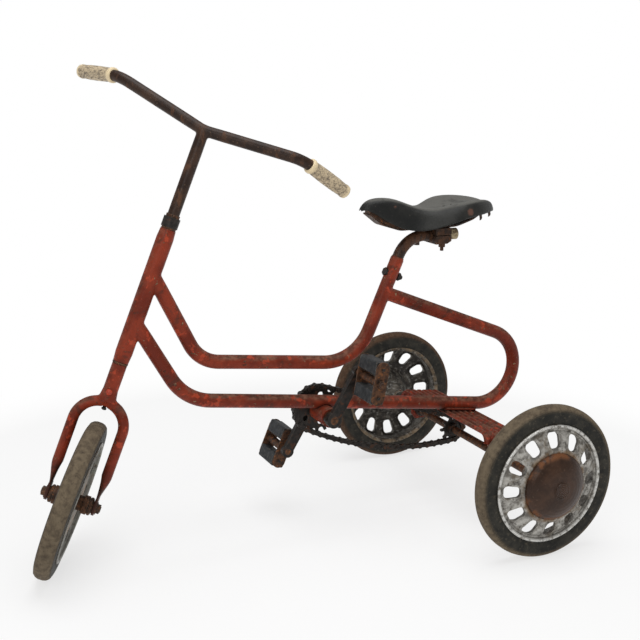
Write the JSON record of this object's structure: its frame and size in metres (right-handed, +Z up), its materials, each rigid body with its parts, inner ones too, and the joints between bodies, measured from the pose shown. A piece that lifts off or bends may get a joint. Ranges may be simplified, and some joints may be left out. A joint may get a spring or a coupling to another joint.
{
  "type": "child's tricycle",
  "caption": "Vintage child's tricycle with a bent-tube frame, solid tyres on pierced disc wheels, and a chain from the cranks to the rear axle.",
  "frame": {"origin": "on the ground under the middle of the rear axle", "axes": "+X forward, +Y to the rider's left, +Z up; the front wheel is stored turned 67 degrees to the left"},
  "size_m": [0.7826, 0.5284, 0.6723],
  "materials": {
    "red_paint": "worn brick-red enamel, chipped to rust",
    "dark_steel": "very dark brown, worn",
    "black_iron": "black, oily",
    "rusty_steel": "brown rusted steel",
    "grey_metal": "aged grey pressed metal",
    "cap_brown": "dark brown oxidised",
    "tyre": "grey-dusted solid rubber",
    "pedal_rubber": "dusty black rubber",
    "saddle_black": "charcoal black, scuffed",
    "ivory_grip": "aged cream plastic"
  },
  "bodies": {
    "frame": {"head_tube": "red_paint", "upper_tube": "red_paint", "lower_tube": "red_paint", "bottom_bracket_shell": "red_paint", "bottom_bracket_bushes": "rusty_steel", "rear_carriage": "red_paint", "axle_bushes": "black_iron", "carriage_welds": "red_paint", "post_bolt": "black_iron", "chain": "black_iron"},
    "seat_post": {"seat_post": "dark_steel"},
    "saddle": {"saddle_cover": "saddle_black", "saddle_strap": "rusty_steel", "saddle_clamp": "rusty_steel", "clamp_bolts": "rusty_steel", "saddle_rivets": "rusty_steel"},
    "steering": {"fork": "red_paint", "crown_sleeve": "red_paint", "steerer_tube": "rusty_steel", "crown_bolt": "rusty_steel", "head_washers": "rusty_steel", "stem_collar": "black_iron", "collar_bolt": "black_iron", "front_axle": "rusty_steel", "front_axle_cones": "rusty_steel", "front_axle_washers": "rusty_steel", "front_axle_nuts": "rusty_steel"},
    "handlebar": {"handlebar": "dark_steel", "left_grip": "ivory_grip", "right_grip": "ivory_grip"},
    "front_wheel": {"front_tyre": "tyre", "front_disc": "grey_metal", "front_hub": "rusty_steel"},
    "cranks": {"crank_spindle": "rusty_steel", "left_crank": "black_iron", "right_crank": "black_iron", "crank_cotters": "black_iron", "chainring": "black_iron", "left_pedal_spindle": "rusty_steel", "right_pedal_spindle": "rusty_steel"},
    "left_pedal": {"left_pedal_cage": "rusty_steel", "left_pedal_rods": "black_iron", "left_pedal_blocks": "pedal_rubber"},
    "right_pedal": {"right_pedal_cage": "rusty_steel", "right_pedal_rods": "black_iron", "right_pedal_blocks": "pedal_rubber"},
    "rear_axle": {"rear_axle": "rusty_steel", "rear_sprocket": "black_iron", "axle_pins": "rusty_steel", "free_wheel_keeper": "rusty_steel", "right_tyre": "tyre", "right_disc": "grey_metal", "right_hub": "grey_metal", "right_hub_cap": "cap_brown"},
    "left_wheel": {"left_tyre": "tyre", "left_disc": "grey_metal", "left_hub": "grey_metal", "left_hub_cap": "cap_brown"}
  },
  "joints": [
    {"name": "steering", "type": "hinge", "parent": "frame", "child": "steering", "pos_m": [0.6079, 0, 0.10439], "axis": [-0.3819, 0, 0.9242], "range_deg": [-157, 23]},
    {"name": "front_wheel_spin", "type": "hinge", "parent": "steering", "child": "front_wheel", "pos_m": [0.6079, 0, 0.10439], "axis": [-0.8507, 0.3907, -0.3515], "continuous": true},
    {"name": "handlebar_height", "type": "slide", "parent": "steering", "child": "handlebar", "axis": [-0.3819, 0, 0.9242], "range_m": [-0.04, 0.045]},
    {"name": "seat_height", "type": "slide", "parent": "frame", "child": "seat_post", "axis": [-0.4067, 0, 0.9135], "range_m": [-0.005, 0.034]},
    {"name": "saddle_setback", "type": "slide", "parent": "seat_post", "child": "saddle", "axis": [0.9998, 0, 0.0179], "range_m": [-0.01, 0.006]},
    {"name": "axle_spin", "type": "hinge", "parent": "frame", "child": "rear_axle", "pos_m": [0, 0, 0.11], "axis": [0, 1, 0], "continuous": true},
    {"name": "crank_spin", "type": "hinge", "parent": "frame", "child": "cranks", "pos_m": [0.2364, 0, 0.1754], "axis": [0, 1, 0], "continuous": true, "deforming": ["chain"]},
    {"name": "left_pedal_spin", "type": "hinge", "parent": "cranks", "child": "left_pedal", "pos_m": [0.19681, 0.078, 0.24261], "axis": [0, 1, 0], "continuous": true},
    {"name": "right_pedal_spin", "type": "hinge", "parent": "cranks", "child": "right_pedal", "pos_m": [0.27599, -0.078, 0.10819], "axis": [0, 1, 0], "continuous": true},
    {"name": "left_wheel_spin", "type": "hinge", "parent": "rear_axle", "child": "left_wheel", "pos_m": [0, 0.2218, 0.11], "axis": [0, 1, 0], "continuous": true}
  ],
  "couplings": [
    {"joint": "crank_spin", "follows": "axle_spin", "ratio": 0.52941}
  ]
}
